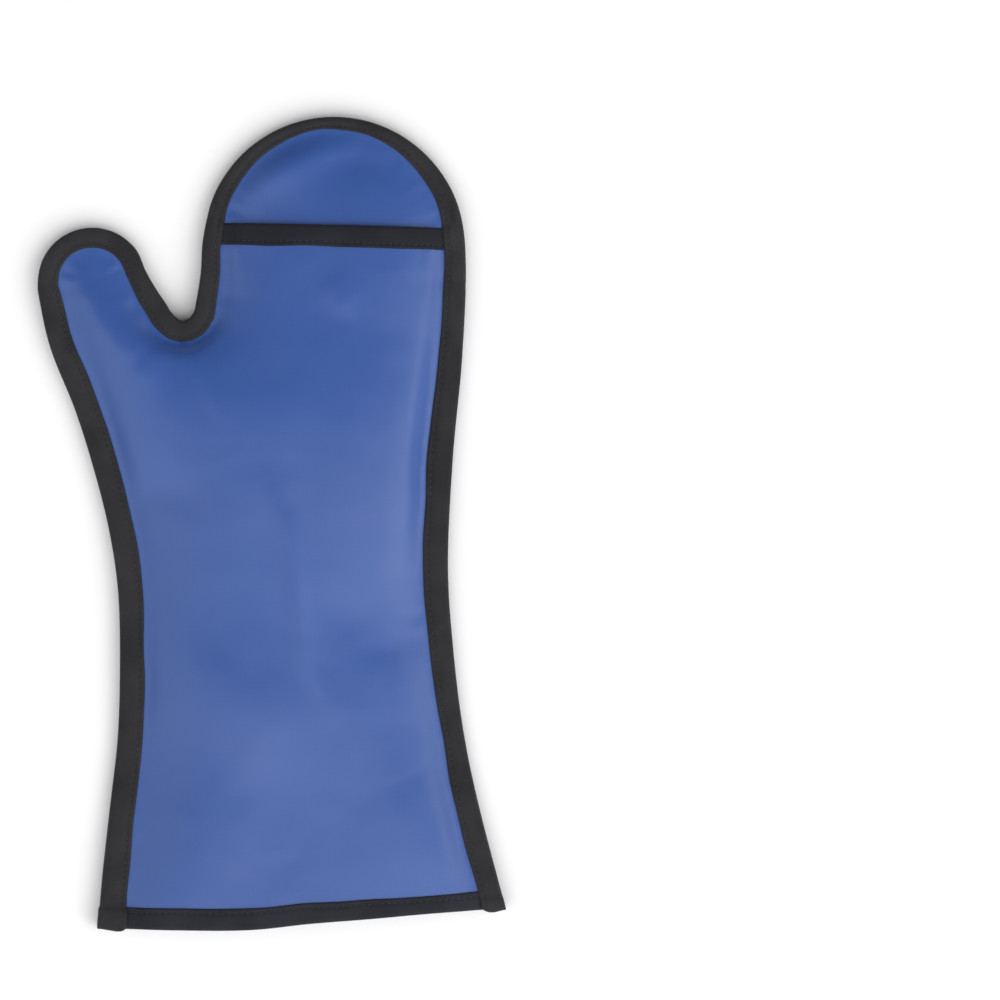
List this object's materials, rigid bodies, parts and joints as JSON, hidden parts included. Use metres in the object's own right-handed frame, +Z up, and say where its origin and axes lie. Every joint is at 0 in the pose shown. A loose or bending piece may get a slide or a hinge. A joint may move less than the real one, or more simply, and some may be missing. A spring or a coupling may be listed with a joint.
{
  "type": "lead lined glove",
  "caption": "Gauntlet mitt of coated nylon over lead vinyl for a left hand, lying palm up, with a slit across the fingers, a fingertip hood and bound edges.",
  "frame": {"origin": "middle of the glove's box in plan, on the surface that it lies on", "axes": "+Y from the cuff towards the fingertips, +Z up out of the palm side, -X on the thumb side"},
  "size_m": [0.2292, 0.4, 0.0215],
  "materials": {
    "back_nylon": "blue coated nylon with a satin sheen",
    "palm_nylon": "blue coated nylon with a satin sheen",
    "hood_nylon": "blue coated nylon with a satin sheen",
    "edge_tape": "matt black woven binding tape",
    "slit_tape": "matt black woven binding tape",
    "cuff_tape": "matt black woven binding tape"
  },
  "bodies": {
    "root": {"back_panel": "back_nylon", "palm_panel": "palm_nylon", "fingertip_hood": "hood_nylon", "edge_binding": "edge_tape", "slit_binding": "slit_tape", "palm_cuff_binding": "cuff_tape", "back_cuff_binding": "cuff_tape"}
  },
  "joints": []
}
